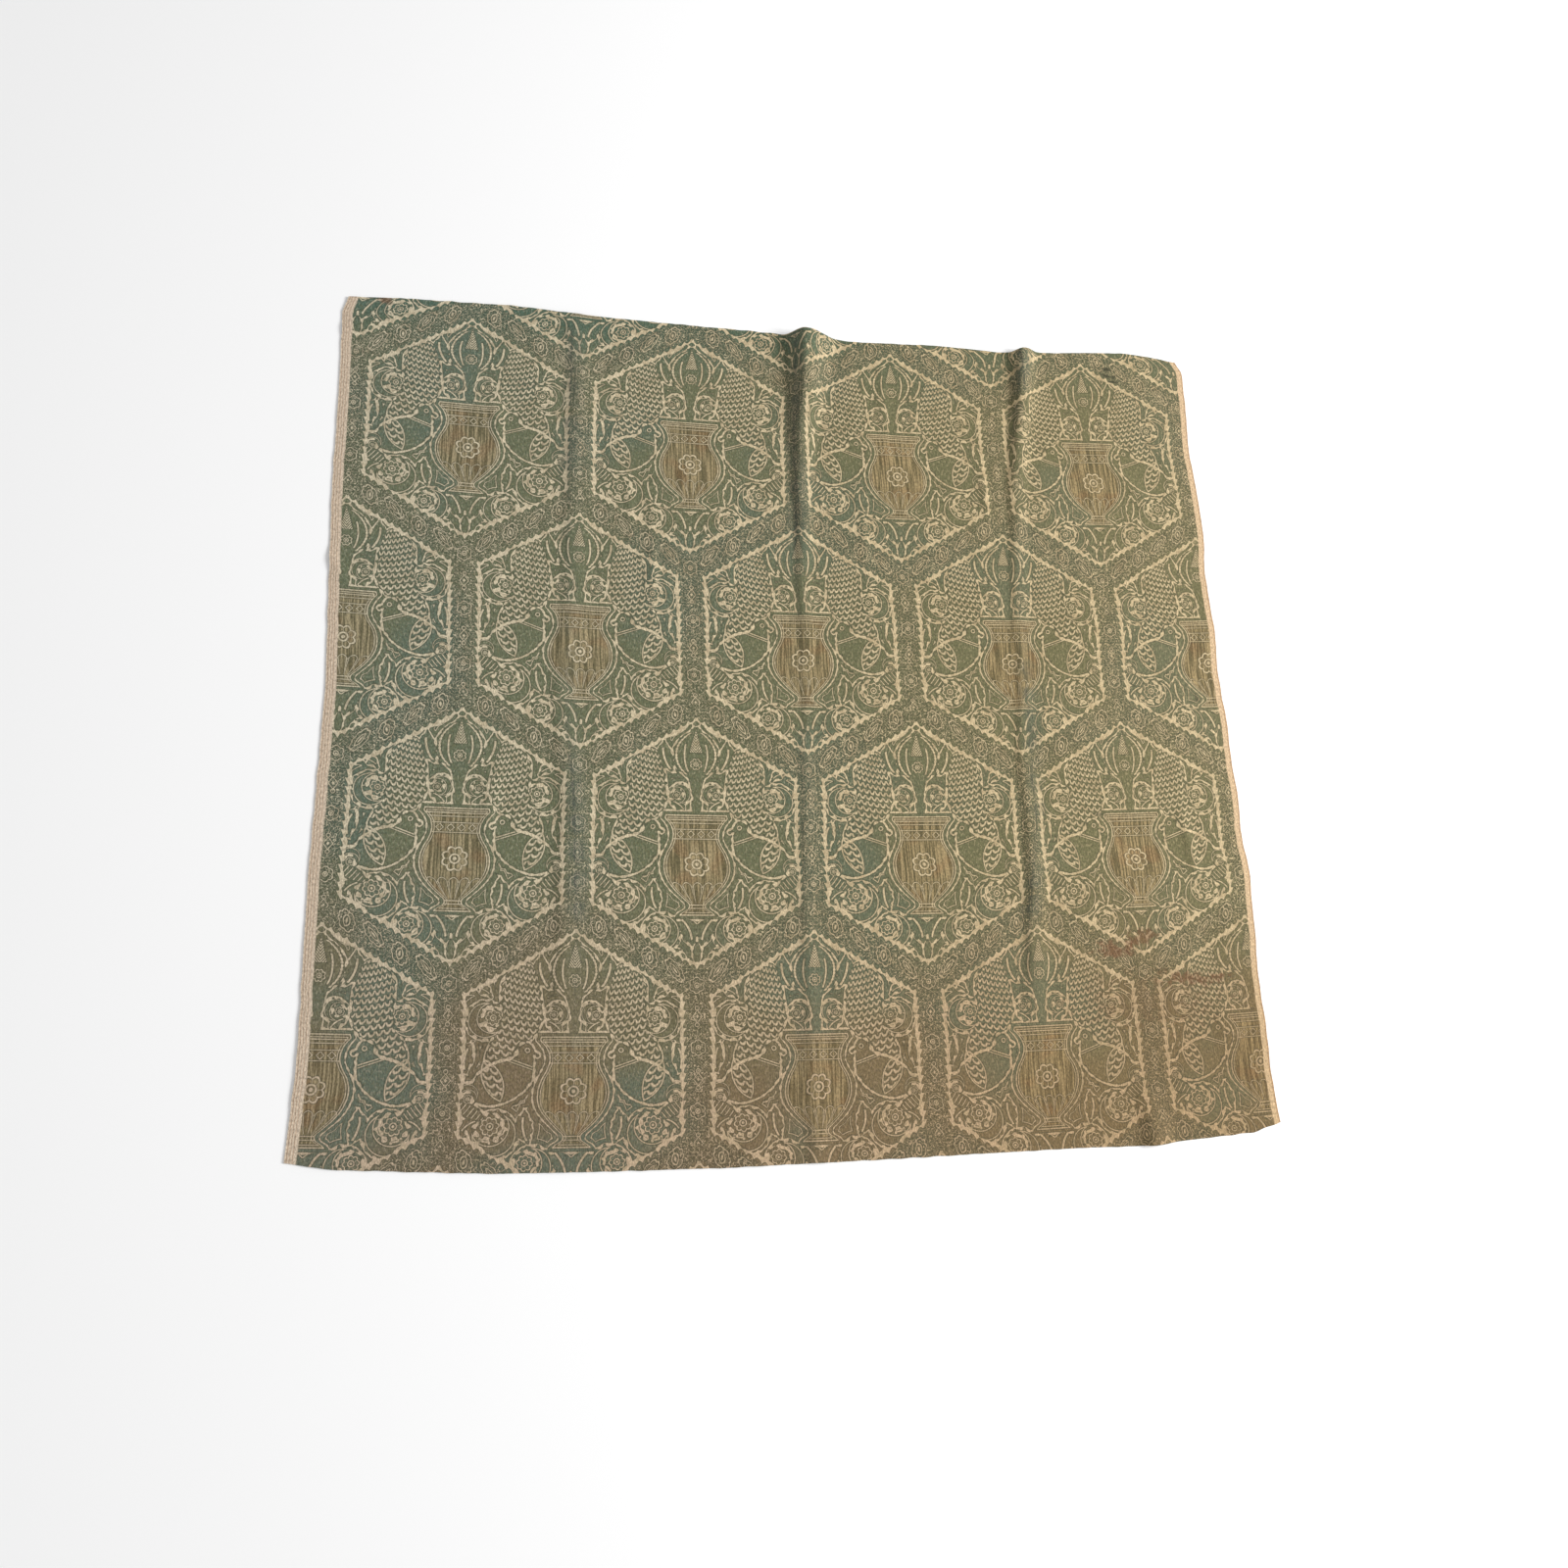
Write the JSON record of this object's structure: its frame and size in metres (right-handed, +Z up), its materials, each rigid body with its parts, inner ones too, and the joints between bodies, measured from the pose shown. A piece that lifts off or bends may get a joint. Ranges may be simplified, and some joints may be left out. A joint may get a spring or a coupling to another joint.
{
  "type": "damask fabric panel",
  "caption": "Flat woven damask panel with two selvedges and cut ends, lying on a floor with soft lengthwise fold creases.",
  "frame": {"origin": "on the floor, under the middle of the panel's outline", "axes": "+Z up from the floor, +X across the cloth towards the right selvedge, +Y along the warp towards the top end"},
  "size_m": [1.3, 1.2059, 0.0263],
  "materials": {
    "cloth": "woven damask, dull green ground with pale beige figures, light sheen"
  },
  "bodies": {
    "root": {"damask_panel": "cloth"}
  },
  "joints": []
}
